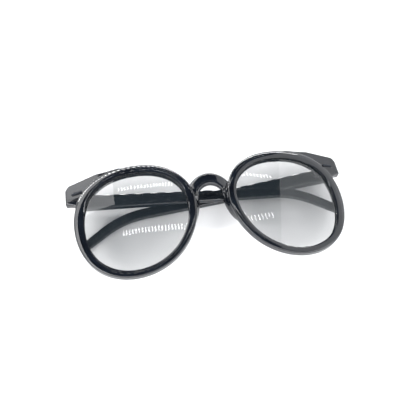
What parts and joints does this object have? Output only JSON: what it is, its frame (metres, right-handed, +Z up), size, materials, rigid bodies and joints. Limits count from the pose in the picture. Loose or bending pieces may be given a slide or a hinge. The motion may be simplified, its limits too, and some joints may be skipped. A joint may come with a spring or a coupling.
{
  "type": "glasses",
  "caption": "Clear-lens glasses with round smoke-grey plastic rims, a keyhole bridge and moulded nose pads, folded and lying face up.",
  "frame": {"origin": "centre of the footprint, on the surface that the folded glasses lie on", "axes": "+X towards the wearer's left temple hinge, +Y towards the brow, +Z up, out of the lenses"},
  "size_m": [0.1436, 0.0604, 0.0194],
  "materials": {
    "smoke_plastic": "glossy translucent smoke grey",
    "clear_lens": "clear, with a faint blue-grey tint and an anti-reflection coat",
    "hinge_steel": "satin steel",
    "dark_trim": "dark gunmetal"
  },
  "bodies": {
    "front": {"front_frame": "smoke_plastic", "lens_left": "clear_lens", "lens_right": "clear_lens", "front_hinge_leaf_left": "hinge_steel", "front_hinge_leaf_right": "hinge_steel", "hinge_screw_left": "hinge_steel", "hinge_screw_right": "hinge_steel", "end_piece_trim_left": "dark_trim", "end_piece_trim_right": "dark_trim"},
    "left_temple": {"temple_left": "smoke_plastic", "temple_hinge_leaf_left": "hinge_steel"},
    "right_temple": {"temple_right": "smoke_plastic", "temple_hinge_leaf_right": "hinge_steel"}
  },
  "joints": [
    {"name": "left_temple_fold", "type": "hinge", "parent": "front", "child": "left_temple", "pos_m": [0.06581, 0.01863, 0.0059], "axis": [0, -1, 0], "range_deg": [0, 88.2]},
    {"name": "right_temple_fold", "type": "hinge", "parent": "front", "child": "right_temple", "pos_m": [-0.06592, 0.01863, 0.01004], "axis": [0, 1, 0], "range_deg": [0, 91.8]}
  ]
}
